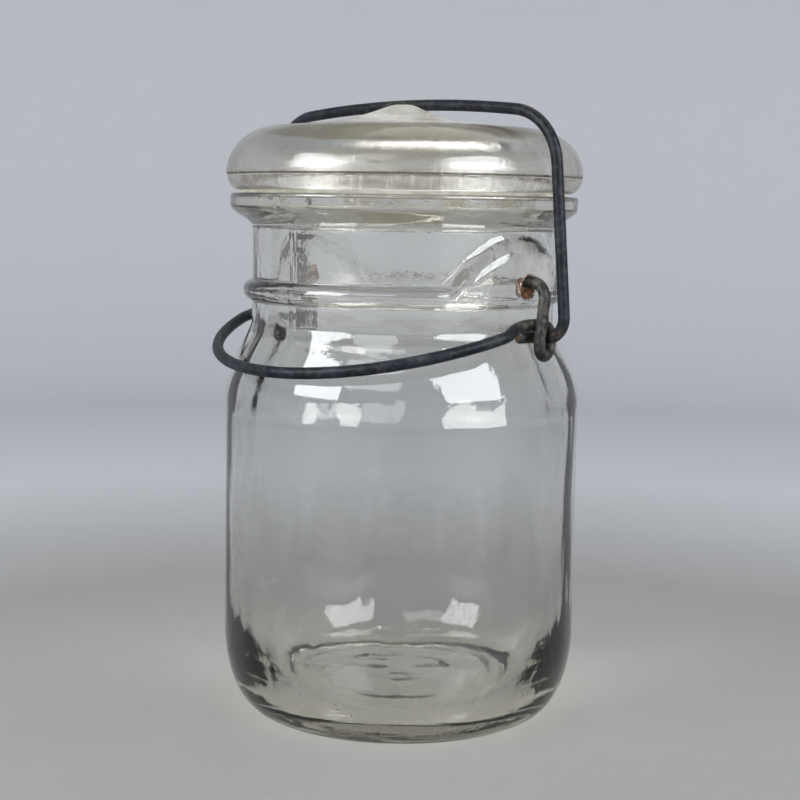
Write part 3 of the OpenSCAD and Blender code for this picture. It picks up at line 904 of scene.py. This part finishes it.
CAMERA_AZIMUTH = 43.0  # from the handle's direction
CAMERA_DISTANCE, CAMERA_HEIGHT = 385.9, 118.4
CAMERA_PITCH, CAMERA_YAW, CAMERA_ROLL = 6.76, -0.05, 0.82
CAMERA_LENS, SENSOR = 74.3, 36.0
SKY, SKY_STRENGTH = (0.80, 0.86, 0.93, 1), 0.37
DAYLIGHT, WARM_WHITE = (0.96, 0.98, 1.0), (1.0, 0.98, 0.95)
AIM_Z = 80
PANELS = (  # name, azimuth from the camera's, elevation, distance, width, height, watts, colour
    ("window_left", -58, 26, 860, 460, 420, 9.0, DAYLIGHT),
    ("window_right", 48, 26, 860, 580, 420, 10.0, DAYLIGHT),
    ("window_middle", -22, 36, 860, 420, 260, 1.6, DAYLIGHT),
    ("overhead", 150, 72, 1300, 900, 900, 4.6, WARM_WHITE),
)


def make_camera():
    data = bpy.data.cameras.new("camera")
    data.lens, data.sensor_width = CAMERA_LENS, SENSOR
    data.clip_start, data.clip_end = 0.01, 20
    camera = bpy.data.objects.new("camera", data)
    a = math.radians(CAMERA_AZIMUTH)
    place = Vector((CAMERA_DISTANCE * math.sin(a), -CAMERA_DISTANCE * math.cos(a), CAMERA_HEIGHT)) * MM
    turn = (Matrix.Rotation(a - math.radians(CAMERA_YAW), 4, "Z")
            @ Matrix.Rotation(math.radians(90 - CAMERA_PITCH), 4, "X")
            @ Matrix.Rotation(math.radians(CAMERA_ROLL), 4, "Z"))
    camera.matrix_world = Matrix.Translation(place) @ turn
    bpy.context.scene.collection.objects.link(camera)
    bpy.context.scene.camera = camera


def area_light(name, azimuth, elevation, distance, width, height, watts, colour):
    """A soft panel that faces the jar's shoulder."""
    data = bpy.data.lights.new(name, "AREA")
    data.shape = "RECTANGLE"
    data.size, data.size_y = width * MM, height * MM
    data.energy, data.color = watts, colour
    light = bpy.data.objects.new(name, data)
    a, e = math.radians(CAMERA_AZIMUTH + azimuth), math.radians(elevation)
    aim = Vector((0, 0, AIM_Z * MM))
    back = Vector((math.sin(a) * math.cos(e), -math.cos(a) * math.cos(e), math.sin(e)))
    light.location = aim + back * distance * MM
    light.rotation_mode = "QUATERNION"
    light.rotation_quaternion = back.to_track_quat("Z", "Y")
    light.visible_camera = False
    bpy.context.scene.collection.objects.link(light)


def make_light():
    world = bpy.data.worlds.new("studio")
    world.use_nodes = True
    background = world.node_tree.nodes["Background"]
    background.inputs["Color"].default_value = SKY
    background.inputs["Strength"].default_value = SKY_STRENGTH
    bpy.context.scene.world = world
    for panel in PANELS:
        area_light(*panel)


# ---- Assembly -------------------------------------------------------------------------------------------

def place(piece, material, node, body, slot):
    """Gives a piece its material and its body, and hides the CAD node it stands for. The slot is not used."""
    piece.data.materials.append(material)
    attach(piece, body)
    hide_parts(node)


make_stage()
make_camera()
make_light()
place(make_jar(), glass("jar_old_glass", *JAR_ABSORBS), "jar", "jar_body", "jar_glass")
place(make_ring(), rubber(), "seal_ring", "jar_body", "seal_rubber")
place(make_lid(), glass("lid_old_glass", *LID_ABSORBS, is_lid=True, haze=LID_HAZE),
      "lid", "lid_body", "lid_glass")
place(make_lever(), steel("lever_old_steel", shift=0.0), "lever_wire", "lever", "lever_steel")
place(make_bail(), steel("bail_old_steel", shift=0.4), "bail_wire", "bail", "bail_steel")

bpy.context.scene.view_settings.view_transform = "Standard"
